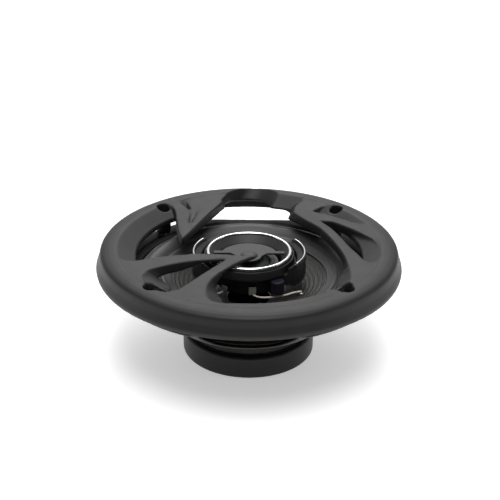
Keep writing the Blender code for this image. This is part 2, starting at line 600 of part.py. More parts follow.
def make_terminals(basket, board_mat, zinc, braid):
    """Terminal board on an ear of the basket, two spade tabs and the leads to the cone."""
    ear = box("terminal_ear", (28.0, 12.6, 1.4), (0.0, 54.2, EAR_TOP - 0.7))
    boolean(basket, ear, "UNION")
    boolean(basket, disc("ear_hole", 1.4, 24.0, 28.0, steps=12, at=(0.0, 57.0)))
    board = box("terminal_board", (26.0, 8.0, 1.6), (0.0, 56.2, BOARD_TOP - 0.8), board_mat, bevel=0.3)
    boolean(board, disc("board_hole", 1.4, 26.0, 30.0, steps=12, at=(0.0, 57.0)))
    turned("terminal_board_rivet", [(0.0, 29.9), (1.4, 29.7), (2.4, 29.0), (1.1, 29.0), (1.1, 25.1),
                                    (2.2, 25.1), (1.8, 24.5), (0.0, 24.3)],
           zinc, steps=12, closed=False, at=(0.0, 57.0, 0.0))
    for name, (x, width) in TERMINALS.items():
        tab = box(f"terminal_tab_{name}", (width, 13.0, 0.8), (x, 61.0, BOARD_TOP + GAP + 0.4), zinc)
        hole = disc(f"tab_hole_{name}", 1.0, 24.0, 32.0, steps=12, at=(x, 57.0))
        boolean(tab, hole)
        boolean(board, hole)
        turned(f"terminal_rivet_{name}", [(0.0, 31.0), (0.9, 30.9), (1.3, 30.1), (0.7, 30.1),
                                          (0.7, 27.3), (0.0, 27.3)],
               zinc, steps=12, closed=False, at=(x, 57.0, 0.0))
        side = 1.0 if x > 0.0 else -1.0
        route = [(side * 6.4, 54.8, 30.7), (side * 6.3, 51.5, 32.2), (side * 6.0, 46.0, 34.6),
                 (side * 5.6, 39.0, 35.6), (side * 5.2, 33.0, 36.6), (side * 5.0, 30.2, 39.4)]
        wire(f"tinsel_lead_{name}", route, 1.0, braid)


# ---------------------------------------------------------------- whole speaker

def main():
    clear_scene()
    black_plastic = material("satin_black_plastic", (0.018, 0.018, 0.019), 0.45)
    frame_black = material("black_painted_steel", (0.015, 0.015, 0.016), 0.4)
    rubber = material("black_rubber", (0.03, 0.03, 0.032), 0.55)
    cone_mat = material("woven_cone", (0.05, 0.05, 0.05), 0.5)
    spider_mat = material("treated_cloth", (0.05, 0.045, 0.035), 0.85)
    bright = material("bright_trim", (0.8, 0.8, 0.8), 0.12, 1.0)
    zinc = material("zinc_plated_steel", (0.6, 0.6, 0.58), 0.35, 1.0)
    steel = material("dark_steel", (0.12, 0.12, 0.12), 0.4, 1.0)
    ferrite = material("ferrite", (0.07, 0.065, 0.06), 0.7)
    copper = material("copper_wire", (0.72, 0.32, 0.15), 0.35, 1.0)
    fibre = material("glass_fibre_former", (0.03, 0.024, 0.018), 0.5)
    silk = material("tweeter_dome_film", (0.08, 0.08, 0.085), 0.4)
    tweeter_grey = material("tweeter_grey_plastic", (0.06, 0.06, 0.062), 0.4)
    braid = material("tinsel_braid", (0.62, 0.52, 0.42), 0.5)
    sleeve = material("capacitor_sleeve", (0.05, 0.045, 0.09), 0.35)
    board_mat = material("laminate_board", (0.35, 0.2, 0.08), 0.6)
    gasket_mat = material("gasket_foam", (0.02, 0.02, 0.02), 0.9)
    neodymium = material("nickel_plated_magnet", (0.5, 0.48, 0.45), 0.3, 1.0)

    make_grille(black_plastic)
    basket = make_basket(frame_black)
    make_surround(rubber)
    washer("surround_gasket", 71.2, 66.6, 48.6, 50.5, gasket_mat, steps=40)
    make_spider(spider_mat)
    make_cone(cone_mat)
    make_motor(steel, ferrite, rubber, fibre, copper)
    make_rivets(zinc)
    make_pod(black_plastic)
    make_wing_trims(bright)
    make_tweeter(tweeter_grey, bright, silk, steel, neodymium, copper)
    make_post(black_plastic, zinc)
    make_tweeter_wiring(zinc, braid, sleeve)
    make_terminals(basket, board_mat, zinc, braid)


main()
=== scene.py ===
"""Looks for the coaxial car speaker: its fine surfaces, finishes, studio and camera.

Lengths are in millimetres until they reach Blender, where MM turns them into metres.
"""

import json
import math

import bpy
import numpy as np
from mathutils import Matrix, Vector

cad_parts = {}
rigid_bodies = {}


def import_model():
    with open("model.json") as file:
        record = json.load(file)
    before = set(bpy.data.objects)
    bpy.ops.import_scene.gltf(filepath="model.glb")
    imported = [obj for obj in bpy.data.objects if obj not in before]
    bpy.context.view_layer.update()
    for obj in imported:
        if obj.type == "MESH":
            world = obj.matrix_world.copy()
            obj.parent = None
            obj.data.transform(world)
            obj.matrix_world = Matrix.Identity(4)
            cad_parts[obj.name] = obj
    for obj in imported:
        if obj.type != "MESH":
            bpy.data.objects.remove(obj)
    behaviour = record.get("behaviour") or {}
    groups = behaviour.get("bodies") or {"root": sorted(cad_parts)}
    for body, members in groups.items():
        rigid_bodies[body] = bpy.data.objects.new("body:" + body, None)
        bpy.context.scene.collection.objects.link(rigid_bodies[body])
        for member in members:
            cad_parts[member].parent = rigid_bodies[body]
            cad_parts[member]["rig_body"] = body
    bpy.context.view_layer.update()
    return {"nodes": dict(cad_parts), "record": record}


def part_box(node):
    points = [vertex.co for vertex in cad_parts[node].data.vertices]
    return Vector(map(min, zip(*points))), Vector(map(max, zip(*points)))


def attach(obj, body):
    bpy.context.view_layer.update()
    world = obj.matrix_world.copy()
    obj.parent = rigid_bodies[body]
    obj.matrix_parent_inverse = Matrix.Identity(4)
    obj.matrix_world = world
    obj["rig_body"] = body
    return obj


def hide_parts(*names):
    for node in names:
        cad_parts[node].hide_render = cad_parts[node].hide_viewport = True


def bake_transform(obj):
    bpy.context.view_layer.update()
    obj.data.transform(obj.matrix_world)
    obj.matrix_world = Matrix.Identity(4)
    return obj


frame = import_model()

MM = 0.001
NODES = frame["nodes"]
SLOT_OF = {row["node"]: row["material_slot"] for row in frame["record"]["subparts"]}

# Round work; the grille's outer crest is crisper than its other edges
CREST_RADIUS = 87.0
TURNED_SEGMENTS = 160
PROFILE_STEPS = 8

# Woofer cone, with fine ripples between its neck and its edge
CONE_NECK_RADIUS = 13.6
CONE_NECK_HEIGHT = 33.4
CONE_EDGE_RADIUS = 52.0
CONE_RISE = 15.6
CONE_CURVE = 0.85
CONE_HALF_THICKNESS = 0.42
CONE_RIPPLE = 0.11
CONE_RIPPLE_PITCH = 2.6
CONE_RIPPLE_RADII = (17.0, 46.0)

# Surround: its middle line as (radius, height), and its half thickness
SURROUND_LINE = [(46.5, 48.4), (49.2, 49.3), (51.6, 50.1), (53.3, 49.2), (56.0, 51.4), (60.0, 52.7),
                 (63.6, 51.3), (66.2, 47.9), (68.4, 47.8), (70.7, 47.8)]
SURROUND_HALF_THICKNESS = 0.45

# Spider: folds that fade out at both ends, then a step down to the basket's ledge
SPIDER_HEIGHT = 29.5
SPIDER_EDGE_RADIUS = 47.4
SPIDER_HALF_THICKNESS = 0.28
SPIDER_FOLD = 3.2
SPIDER_FOLD_HEIGHT = 1.15
SPIDER_FIRST_CREST = 20.0
SPIDER_FADE = 4.0
SPIDER_FADE_RADII = (16.0, 40.0)
SPIDER_STEP = 2.0
SPIDER_STEP_RADIUS = 38.5
SPIDER_STEP_WIDTH = 3.5

# Tweeter: bright ring, wing lines, hub cap, dome and the roll round it
TRIM_RADIUS = 24.2
TRIM_HALF_WIDTH = 0.88
TRIM_HEIGHTS = (63.7, 64.6)
WING_LINE_RADIUS = 27.2
WING_LINE_CENTRE = 5.5
WING_LINE_REACH = 36.5
WING_LINE_HEIGHT = 64.0
WING_LINE_POINTS = 60
WING_LINE_HALF_SIZES = (0.4, 0.3)
CAP_LINE = [(0.02, 64.6), (1.8, 64.55), (3.4, 64.3), (4.6, 63.8), (5.0, 63.4)]
DOME_RADIUS = 12.35
DOME_RISE = 4.6
DOME_BASE = 55.3
DOME_HALF_THICKNESS = 0.15
ROLL_LINE = [(12.6, 56.9), (13.2, 57.4), (14.0, 57.6), (14.8, 57.4), (15.4, 57.15), (17.2, 57.2)]
ROLL_HALF_THICKNESS = 0.14

# Braided leads
BRAID_STRANDS = 6
BRAID_DEPTH = 0.16
BRAID_PITCH = 3.0
TWEETER_LEAD_HALF_WIDTH = 0.58
TINSEL_LEAD_HALF_WIDTH = 0.47

# Camera and studio; a softbox has its place, its aim, its size in metres and its watts
AIM = Vector((0.5, 3.9, 62.4)) * MM
CAMERA_DISTANCE = 0.75
CAMERA_ELEVATION = 26.13
CAMERA_ROLL = 0.6
LENS = 91.2
FLOOR_SIZE = 60.0
FLOOR_GLOW = 0.44
FRONT_LIGHT = 0.05
BACK_LIGHT = 1.0
TOP_LIGHT = 1.0
SIDE_SHARE = 0.35
SOFTBOXES = (
    ("overhead_softbox", (0.0, -0.45, 1.6), (0.0, 0.0, 0.05), 1.1, 16.0),
    ("back_softbox", (0.0, 1.1, 1.2), (0.0, 0.0, 0.06), 0.9, 8.0),
    ("side_softbox", (-1.3, -0.1, 0.32), (0.0, 0.0, 0.02), 0.6, 1.5),
    ("side_softbox", (1.3, -0.1, 0.32), (0.0, 0.0, 0.02), 0.6, 1.5),
)


# ---------------------------------------------------------------- finishes

class Finish:
    """A Principled material built from layers in object space; grain sizes are in millimetres."""

    def __init__(self, name, **sockets):
        self.material = bpy.data.materials.new(name)
        self.material.use_nodes = True
        tree = self.material.node_tree
        self.nodes, self.links = tree.nodes, tree.links
        self.shader = self.nodes["Principled BSDF"]
        self.place = self.add("ShaderNodeTexCoord").outputs["Object"]
        self.normal = None
        for socket, value in sockets.items():
            self.shader.inputs[socket.replace("_", " ")].default_value = value

    def add(self, kind, **settings):
        node = self.nodes.new(kind)
        for key, value in settings.items():
            setattr(node, key, value)
        return node

    def plug(self, socket, value):
        if hasattr(value, "is_output"):
            self.links.new(value, socket)
        else:
            socket.default_value = value

    def math(self, operation, first, second=0.0):
        node = self.add("ShaderNodeMath", operation=operation)
        self.plug(node.inputs[0], first)
        self.plug(node.inputs[1], second)
        return node.outputs[0]

    def axis(self, which, source=None):
        split = self.add("ShaderNodeSeparateXYZ")
        self.plug(split.inputs[0], source or self.place)
        return split.outputs[which]

    def noise(self, grain, detail=2.0, stretch=(1.0, 1.0, 1.0)):
        move = self.add("ShaderNodeMapping")
        move.inputs["Scale"].default_value = stretch
        self.plug(move.inputs["Vector"], self.place)
        node = self.add("ShaderNodeTexNoise")
        node.inputs["Scale"].default_value = 1.0 / (grain * MM)
        node.inputs["Detail"].default_value = detail
        self.plug(node.inputs["Vector"], move.outputs[0])
        return node.outputs["Fac"]

    def cells(self, grain):
        node = self.add("ShaderNodeTexVoronoi")
        node.inputs["Scale"].default_value = 1.0 / (grain * MM)
        self.plug(node.inputs["Vector"], self.place)
        return node.outputs["Distance"]

    def wave(self, along, pitch):
        """Sine of a coordinate in metres, with its pitch in millimetres."""
        return self.math("SINE", self.math("MULTIPLY", along, 2.0 * math.pi / (pitch * MM)))

    def radius(self):
        """Distance from the speaker's axis."""
        flat = self.add("ShaderNodeVectorMath", operation="MULTIPLY")
        flat.inputs[1].default_value = (1.0, 1.0, 0.0)
        self.plug(flat.inputs[0], self.place)
        length = self.add("ShaderNodeVectorMath", operation="LENGTH")
        self.links.new(flat.outputs[0], length.inputs[0])
        return length.outputs["Value"]

    def span(self, source, low, high, from_low=0.0, from_high=1.0):
        node = self.add("ShaderNodeMapRange")
        self.plug(node.inputs["Value"], source)
        node.inputs["From Min"].default_value = from_low
        node.inputs["From Max"].default_value = from_high
        node.inputs["To Min"].default_value = low
        node.inputs["To Max"].default_value = high
        return node.outputs[0]

    def mix(self, factor, first, second):
        node = self.add("ShaderNodeMix", data_type="RGBA")
        self.plug(node.inputs[0], factor)
        self.plug(node.inputs[6], first if hasattr(first, "is_output") else (*first, 1.0))
        self.plug(node.inputs[7], second if hasattr(second, "is_output") else (*second, 1.0))
        return node.outputs[2]

    def colour(self, factor, first, second):
        made = self.mix(factor, first, second)
        self.links.new(made, self.shader.inputs["Base Color"])
        return made

    def recolour(self, factor, under, over):
        """Lays one more colour over a mix that is already there."""
        self.links.new(self.mix(factor, under, over), self.shader.inputs["Base Color"])

    def rough(self, factor, low, high):
        self.links.new(self.span(factor, low, high), self.shader.inputs["Roughness"])

    def relief(self, height, depth):
        """Bump of a depth in millimetres, on top of any earlier one."""
        node = self.add("ShaderNodeBump")
        node.inputs["Strength"].default_value = 1.0
        node.inputs["Distance"].default_value = depth * MM
        self.plug(node.inputs["Height"], height)
        if self.normal:
            self.links.new(self.normal, node.inputs["Normal"])
        self.normal = node.outputs[0]
        self.links.new(self.normal, self.shader.inputs["Normal"])


def satin_black_plastic():
    finish = Finish("satin_black_plastic", IOR=1.37)
    patches = finish.noise(16.0, 3.0)
    finish.colour(patches, (0.009, 0.009, 0.0092), (0.015, 0.015, 0.0155))
    finish.rough(finish.noise(7.0, 4.0), 0.44, 0.54)
    finish.relief(finish.noise(0.5, 2.0), 0.012)
    finish.relief(finish.noise(2.4, 2.0), 0.01)
    return finish.material


def black_painted_steel():
    finish = Finish("black_painted_steel")
    patches = finish.noise(12.0, 3.0)
    finish.colour(patches, (0.009, 0.009, 0.010), (0.02, 0.02, 0.021))
    finish.rough(patches, 0.3, 0.44)
    finish.relief(finish.noise(1.3, 2.0), 0.05)
    return finish.material


def black_rubber():
    """Dark on the boot; greyer on the surround's roll, which is thin, where a painted sheen stands for
    its broad highlights.
    """
    finish = Finish("black_rubber", IOR=1.38)
    patches = finish.noise(9.0, 4.0)
    base = finish.colour(patches, (0.007, 0.007, 0.0075), (0.013, 0.013, 0.0135))
    # Painted sheen: rubber higher than 25 to 40 mm, on the surround's roll, is made greyer to stand for
    # the highlights it catches
    painted_roll_sheen = finish.span(finish.axis(2), 0.0, 1.0, 0.025, 0.04)
    base = finish.mix(painted_roll_sheen, base, (0.055, 0.055, 0.056))
    dust = finish.span(finish.noise(1.1, 3.0), 0.0, 0.25, 0.64, 0.8)
    finish.recolour(dust, base, (0.05, 0.049, 0.046))
    finish.rough(patches, 0.36, 0.5)
    finish.relief(finish.noise(0.6, 3.0), 0.03)
    return finish.material


def woven_cone():
    finish = Finish("woven_cone", IOR=1.45)
    warp = finish.wave(finish.axis(0), 1.9)
    weft = finish.wave(finish.axis(1), 1.9)
    over = finish.math("MULTIPLY", warp, weft)
    tow = finish.span(over, 0.0, 1.0, -0.7, 0.7)
    strand = finish.noise(0.9, 3.0)
    base = finish.colour(tow, (0.012, 0.012, 0.012), (0.042, 0.041, 0.038))
    finish.recolour(finish.span(strand, 0.0, 0.5, 0.45, 0.8), base, (0.07, 0.068, 0.062))
    finish.rough(tow, 0.3, 0.5)
    finish.relief(finish.math("ABSOLUTE", over), 0.12)
    finish.relief(strand, 0.04)
    return finish.material


def treated_cloth():
    finish = Finish("treated_cloth")
    threads = finish.math("MULTIPLY", finish.wave(finish.axis(0), 0.9), finish.wave(finish.axis(1), 0.9))
    cloud = finish.noise(8.0, 3.0)
    base = finish.colour(cloud, (0.022, 0.018, 0.012), (0.05, 0.04, 0.026))
    finish.recolour(finish.span(threads, 0.0, 0.5, -1.0, 1.0), base, (0.075, 0.06, 0.04))
    finish.rough(threads, 0.6, 0.85)
    finish.relief(finish.math("ABSOLUTE", threads), 0.1)
    return finish.material


def bright_trim():
    finish = Finish("bright_trim", Metallic=1.0)
    cloud = finish.noise(5.0, 3.0)
    finish.colour(cloud, (0.74, 0.75, 0.77), (0.86, 0.86, 0.87))
    finish.rough(finish.noise(1.5, 4.0), 0.07, 0.2)
    return finish.material


def zinc_plated_steel():
    finish = Finish("zinc_plated_steel", Metallic=1.0)
    cloud = finish.noise(1.6, 4.0)
    base = finish.colour(cloud, (0.46, 0.46, 0.44), (0.68, 0.68, 0.66))
    tarnish = finish.span(finish.noise(3.0, 2.0), 0.0, 0.4, 0.5, 0.7)
    finish.recolour(tarnish, base, (0.5, 0.47, 0.36))
    finish.rough(cloud, 0.26, 0.45)
    finish.relief(finish.noise(0.4, 3.0, (1.0, 6.0, 1.0)), 0.015)
    return finish.material


def dark_steel():
    finish = Finish("dark_steel", Metallic=1.0)
    marks = finish.wave(finish.radius(), 0.35)
    patches = finish.noise(6.0, 4.0)
    finish.colour(patches, (0.02, 0.02, 0.021), (0.05, 0.048, 0.046))
    finish.rough(patches, 0.32, 0.5)
    finish.relief(marks, 0.008)
    return finish.material


def ferrite():
    finish = Finish("ferrite", IOR=1.7)
    grit = finish.noise(0.7, 5.0)
    finish.colour(grit, (0.03, 0.028, 0.026), (0.09, 0.085, 0.08))
    finish.rough(grit, 0.55, 0.8)
    finish.relief(grit, 0.06)
    return finish.material


def copper_wire():
    finish = Finish("copper_wire", Metallic=1.0)
    turns = finish.wave(finish.axis(2), 0.32)
    base = finish.colour(finish.noise(2.0, 2.0), (0.55, 0.22, 0.09), (0.78, 0.36, 0.17))
    finish.recolour(finish.span(turns, 0.6, 0.0, -1.0, 0.0), base, (0.14, 0.05, 0.02))
    finish.rough(turns, 0.25, 0.4)
    finish.relief(turns, 0.05)
    return finish.material


def glass_fibre_former():
    finish = Finish("glass_fibre_former")
    fibres = finish.noise(0.8, 4.0, (1.0, 1.0, 4.0))
    finish.colour(fibres, (0.02, 0.016, 0.012), (0.05, 0.04, 0.028))
    finish.rough(fibres, 0.4, 0.6)
    finish.relief(fibres, 0.03)
    return finish.material


def tweeter_dome_film():
    finish = Finish("tweeter_dome_film", IOR=1.4)
    cloud = finish.noise(2.5, 3.0)
    finish.colour(cloud, (0.025, 0.025, 0.026), (0.045, 0.045, 0.047))
    finish.rough(cloud, 0.45, 0.6)
    finish.relief(finish.noise(0.3, 2.0), 0.01)
    return finish.material


def tweeter_grey_plastic():
    finish = Finish("tweeter_grey_plastic", IOR=1.38)
    grain = finish.noise(0.55, 3.0)
    cloud = finish.noise(5.0, 3.0)
    base = finish.colour(cloud, (0.016, 0.016, 0.0165), (0.026, 0.026, 0.0265))
    finish.recolour(finish.span(grain, 0.0, 0.6, 0.4, 0.75), base, (0.045, 0.045, 0.044))
    finish.rough(grain, 0.42, 0.56)
    finish.relief(grain, 0.035)
    return finish.material


def tinsel_braid():
    """Flat strands that cross; the coordinates run round and along the lead."""
    finish = Finish("tinsel_braid")
    chart = finish.add("ShaderNodeTexCoord").outputs["UV"]
    around = finish.math("MULTIPLY", finish.axis(0, chart), BRAID_STRANDS * math.pi)
    along = finish.math("MULTIPLY", finish.axis(1, chart), 4.0 * math.pi / BRAID_PITCH)
    one = finish.math("SINE", finish.math("ADD", around, along))
    other = finish.math("SINE", finish.math("SUBTRACT", around, along))
    weave = finish.math("MULTIPLY", one, other)
    strand = finish.span(weave, 0.0, 1.0, -0.5, 0.5)
    base = finish.colour(strand, (0.55, 0.48, 0.4), (0.9, 0.87, 0.8))
    bare_copper = finish.span(finish.noise(0.5, 2.0), 0.0, 0.3, 0.5, 0.8)
    finish.recolour(bare_copper, base, (0.7, 0.58, 0.46))
    finish.rough(weave, 0.4, 0.6)
    finish.relief(finish.math("ABSOLUTE", weave), 0.12)
    return finish.material


def capacitor_sleeve():
    finish = Finish("capacitor_sleeve", IOR=1.35)
    cloud = finish.noise(3.0, 2.0)
    finish.colour(cloud, (0.006, 0.005, 0.011), (0.011, 0.009, 0.02))
    finish.rough(cloud, 0.5, 0.65)
    finish.relief(finish.noise(1.2, 2.0, (1.0, 1.0, 0.3)), 0.02)
    return finish.material


def laminate_board():
    finish = Finish("laminate_board")
    layers = finish.wave(finish.axis(2), 0.4)
    fibres = finish.noise(1.0, 4.0, (1.0, 5.0, 1.0))
    base = finish.colour(fibres, (0.22, 0.11, 0.04), (0.42, 0.25, 0.11))
    finish.recolour(finish.span(layers, 0.0, 0.35, -1.0, 1.0), base, (0.2, 0.1, 0.04))
    finish.rough(layers, 0.45, 0.65)
    finish.relief(finish.noise(0.5, 3.0), 0.02)
    return finish.material


def gasket_foam():
    finish = Finish("gasket_foam")
    bubbles = finish.cells(0.8)
    finish.colour(bubbles, (0.008, 0.008, 0.008), (0.03, 0.03, 0.031))
    finish.rough(bubbles, 0.8, 0.95)
    finish.relief(bubbles, 0.2)
    return finish.material


def nickel_plated_magnet():
    finish = Finish("nickel_plated_magnet", Metallic=1.0)
    cloud = finish.noise(2.2, 3.0)
    finish.colour(cloud, (0.48, 0.46, 0.42), (0.6, 0.58, 0.54))
    finish.rough(cloud, 0.18, 0.32)
    return finish.material


def studio_floor():
    finish = Finish("studio_floor", Specular_IOR_Level=0.2, Emission_Strength=FLOOR_GLOW)
    finish.shader.inputs["Emission Color"].default_value = (1.0, 1.0, 1.0, 1.0)
    cloud = finish.noise(240.0, 2.0)
    finish.colour(cloud, (0.86, 0.86, 0.86), (0.89, 0.89, 0.89))
    finish.rough(cloud, 0.7, 0.8)
    return finish.material


FINISHES = {builder.__name__: builder() for builder in (
    satin_black_plastic, black_painted_steel, black_rubber, woven_cone, treated_cloth, bright_trim,
    zinc_plated_steel, dark_steel, ferrite, copper_wire, glass_fibre_former, tweeter_dome_film,
    tweeter_grey_plastic, tinsel_braid, capacitor_sleeve, laminate_board, gasket_foam,
    nickel_plated_magnet)}


# ---------------------------------------------------------------- mesh work

def mesh_points(mesh):
    flat = np.empty(len(mesh.vertices) * 3, np.float32)
    mesh.vertices.foreach_get("co", flat)
    return flat.reshape(-1, 3).astype(float)


def relaxed(mesh, points, rounds, pull=0.5):
    """Points drawn towards the middle of their neighbours, which rounds every edge.

    pull is one share for all, or one for each point, so that some edges stay crisp.
    """
    edges = np.empty(len(mesh.edges) * 2, np.int32)
    mesh.edges.foreach_get("vertices", edges)
    first, second = edges.reshape(-1, 2).T
    both, others = np.concatenate([first, second]), np.concatenate([second, first])
    count = np.bincount(both, minlength=len(points))[:, None]
    for _ in range(rounds):
        total = np.stack([np.bincount(both, points[others, k], len(points)) for k in range(3)], 1)
        points = points + pull * (total / count - points)
    return points


def rounded_out(points, sides, centre):
    """Moves the flat sides of a turned shape out to the circle that they stand for."""
    offset = points[:, :2] - np.array(centre)
    step = 2.0 * math.pi / sides
    angle = np.arctan2(offset[:, 1], offset[:, 0])
    from_middle = angle - (np.floor(angle / step) + 0.5) * step
    stretch = np.cos(from_middle) / math.cos(0.5 * step)
    moved = points.copy()
    moved[:, :2] = np.array(centre) + offset * stretch[:, None]
    return moved


def new_piece(name, mesh):
    mesh.shade_smooth()
    piece = bpy.data.objects.new(name, mesh)
    bpy.context.scene.collection.objects.link(piece)
    return piece


def stand_for(piece, node):
    """The piece takes a CAD node's place, finish and slot."""
    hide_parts(node)
    slot = SLOT_OF[node]
    piece.data.materials.clear()
    piece.data.materials.append(FINISHES[slot])
    return piece


def centre_of(node):
    """Middle of a CAD node in plan, in millimetres."""
    low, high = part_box(node)
    return (0.5 * (low + high) / MM).to_2d()


def fine_copy(name, node, voxel, rounds, sides):
    """A CAD node's shape on a fine grid, with softened edges, and true circles if it has sides."""
    piece = new_piece(name, NODES[node].data.copy())
    grid = piece.modifiers.new("grid", "REMESH")
    grid.mode = "VOXEL"
    grid.voxel_size = voxel * MM
    bpy.context.view_layer.update()
    fine = bpy.data.meshes.new_from_object(piece.evaluated_get(bpy.context.evaluated_depsgraph_get()))
    piece.modifiers.clear()
    piece.data = fine
    fine.name = name
    points = mesh_points(fine)
    if sides:
        centre = centre_of(node)
        on_axis = centre.length < 1.0
        points = rounded_out(points, sides, (0.0, 0.0) if on_axis else tuple(centre * MM))
    pull = 0.5
    if node == "grille_cover":
        radius = np.hypot(points[:, 0], points[:, 1]) / MM
        pull = np.interp(radius, (76.0, 82.0, CREST_RADIUS - 1.5), (0.5, 0.5, 0.12))[:, None]
    points = relaxed(fine, points, rounds, pull)
    fine.vertices.foreach_set("co", points.astype(np.float32).ravel())
    fine.update()
    fine.shade_smooth()
    return stand_for(piece, node)


def curve_through(points, steps=PROFILE_STEPS):
    """Catmull-Rom points through the given ones, ends included."""
    pts = np.array(points, float)
    padded = np.vstack([2 * pts[0] - pts[1], pts, 2 * pts[-1] - pts[-2]])
    t = (np.arange(steps) / steps)[:, None]
    spans = []
    for before, start, end, after in zip(padded, padded[1:], padded[2:], padded[3:]):
        cubic = (-before + 3 * start - 3 * end + after) * t ** 3
        square = (2 * before - 5 * start + 4 * end - after) * t ** 2
        spans.append(0.5 * (2 * start + (end - before) * t + square + cubic))
    return np.vstack(spans + [pts[-1:]])


def thick(line, half):
    """Closed section of a sheet around its middle line, with round ends."""
    along = np.gradient(line, axis=0)
    along /= np.linalg.norm(along, axis=1)[:, None]
    across = np.stack([-along[:, 1], along[:, 0]], 1)
    ends = []
    for index, turn in ((0, 1.0), (-1, -1.0)):
        angles = np.radians(np.linspace(90.0, 270.0, 7)[1:-1])
        cap = [line[index] + turn * half * (math.cos(a) * along[index] + math.sin(a) * across[index])
               for a in angles]
        ends.append(np.array(cap))
    top, under = line + half * across, line - half * across
    return np.vstack([top[::-1], ends[0], under, ends[1]])


def grid_mesh(name, rows, close_rows, chart=None):
    """Mesh over rows of points; each row is a ring, and the rows may close on themselves too."""
    count, sides = rows.shape[:2]
    mesh = bpy.data.meshes.new(name)
    index = np.arange(count * sides).reshape(count, sides)
    lower = index if close_rows else index[:-1]
    upper = np.roll(index, -1, axis=0) if close_rows else index[1:]
    faces = np.stack([lower, np.roll(lower, -1, 1), np.roll(upper, -1, 1), upper], -1).reshape(-1, 4)
    faces = faces.tolist()
    if not close_rows:
        faces += [index[0][::-1].tolist(), index[-1].tolist()]
    mesh.from_pydata(rows.reshape(-1, 3).tolist(), [], faces)
    if chart is not None:
        layer = mesh.uv_layers.new(name="lay")
        corners = np.empty(len(mesh.loops), np.int32)
        mesh.loops.foreach_get("vertex_index", corners)
        layer.data.foreach_set("uv", chart.reshape(-1, 2)[corners].astype(np.float32).ravel())
    return mesh


def turned(name, section, segments=TURNED_SEGMENTS, at=(0.0, 0.0)):
    """A closed section of (radius, height) turned about the axis at a place."""
    angles = np.linspace(0.0, 2.0 * math.pi, segments, endpoint=False)
    radius, height = np.array(section, float).T
    rows = np.stack([at[0] + np.outer(np.cos(angles), radius), at[1] + np.outer(np.sin(angles), radius),
                     np.broadcast_to(height, (segments, len(height)))], -1)
    return new_piece(name, grid_mesh(name, rows * MM, True))


def tube(name, path, half_width, half_height, sides=16, strands=0):
    """A lead or bar along a path; with strands, its section is lobed and twists along it."""
    along = np.gradient(path, axis=0)
    along /= np.linalg.norm(along, axis=1)[:, None]
    side = np.cross(along, (0.0, 0.0, 1.0))
    side /= np.linalg.norm(side, axis=1)[:, None]
    up = np.cross(side, along)
    run = np.concatenate([[0.0], np.cumsum(np.linalg.norm(np.diff(path, axis=0), axis=1))])
    angle = np.linspace(0.0, 2.0 * math.pi, sides, endpoint=False)
    twist = 2.0 * math.pi * run[:, None] / BRAID_PITCH
    lobes = 1.0 - BRAID_DEPTH * np.abs(np.sin(0.5 * strands * (angle + twist)))
    wide = (half_width * np.cos(angle) * lobes)[..., None]
    tall = (half_height * np.sin(angle) * lobes)[..., None]
    rows = path[:, None, :] + wide * side[:, None, :] + tall * up[:, None, :]
    chart = np.stack([np.broadcast_to(angle / (2.0 * math.pi), rows.shape[:2]),
                      np.broadcast_to(run[:, None], rows.shape[:2])], -1)
    return new_piece(name, grid_mesh(name, rows * MM, False, chart))


def blend_by_radius(piece):
    """Bakes the piece's place into its mesh and reads its points; no share of the motion is given to
    them.
    """
    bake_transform(piece)
    points = mesh_points(piece.data)


# ---------------------------------------------------------------- pieces

# CAD nodes redone on a fine grid: new name, grid size, rounds of softening, and facets to round out
FINE_COPIES = {
    "grille_cover": ("grille_moulding", 0.6, 6, 56),
    "basket_frame": ("basket_pressing", 0.55, 4, 40),
    "surround_gasket": ("gasket_ring", 0.4, 3, 40),
    "magnet_boot": ("boot_moulding", 0.55, 5, 48),
    "top_plate": ("top_plate_turned", 0.45, 2, 36),
    "tweeter_pod": ("pod_moulding", 0.32, 4, 36),
    "tweeter_housing": ("tweeter_dish", 0.25, 3, 40),
    "tweeter_bridge": ("tweeter_bridge_plate", 0.2, 3, 0),
    "tweeter_post": ("post_turned", 0.3, 3, 24),
    "crossover_capacitor": ("capacitor_can", 0.2, 3, 16),
    "terminal_board": ("terminal_board_plate", 0.25, 2, 0),
    "terminal_board_rivet": ("terminal_board_rivet_head", 0.15, 3, 12),
}
SMALL_COPIES = {"basket_rivet_": (0.18, 3, 12), "terminal_rivet_": (0.12, 2, 12),
                "terminal_tab_": (0.16, 2, 0), "solder_tab_": (0.12, 2, 0)}


def body_of(node):
    return NODES[node]["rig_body"]


def make_fine_copies():
    """Mouldings, pressings and small metal parts, each on the body that its CAD node belongs to."""
    for node, (name, voxel, rounds, sides) in FINE_COPIES.items():
        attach(fine_copy(name, node, voxel, rounds, sides), body_of(node))
    for node in sorted(NODES):
        for start, (voxel, rounds, sides) in SMALL_COPIES.items():
            if node.startswith(start):
                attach(fine_copy(node + "_fine", node, voxel, rounds, sides), body_of(node))


def cone_height(radius):
    span = (radius - CONE_NECK_RADIUS) / (CONE_EDGE_RADIUS - CONE_NECK_RADIUS)
    return CONE_NECK_HEIGHT + CONE_RISE * span ** CONE_CURVE


def make_cone():
    """Woven cone whose ripples fade out before the neck and the edge."""
    radius = np.linspace(CONE_NECK_RADIUS, CONE_EDGE_RADIUS - 0.3, 150)
    ripple = np.sin(2.0 * math.pi * radius / CONE_RIPPLE_PITCH)
    first, last = CONE_RIPPLE_RADII
    inside = np.clip((radius - first) / 3.0, 0.0, 1.0) * np.clip((last - radius) / 2.0, 0.0, 1.0)
    height = cone_height(radius) + CONE_RIPPLE * ripple * inside
    cone = turned("cone_woven", thick(np.stack([radius, height], 1), CONE_HALF_THICKNESS), 200)
    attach(stand_for(cone, "woofer_cone"), "cone")


def make_surround():
    piece = turned("surround_roll", thick(curve_through(SURROUND_LINE), SURROUND_HALF_THICKNESS))
    stand_for(piece, "surround")
    blend_by_radius(piece)


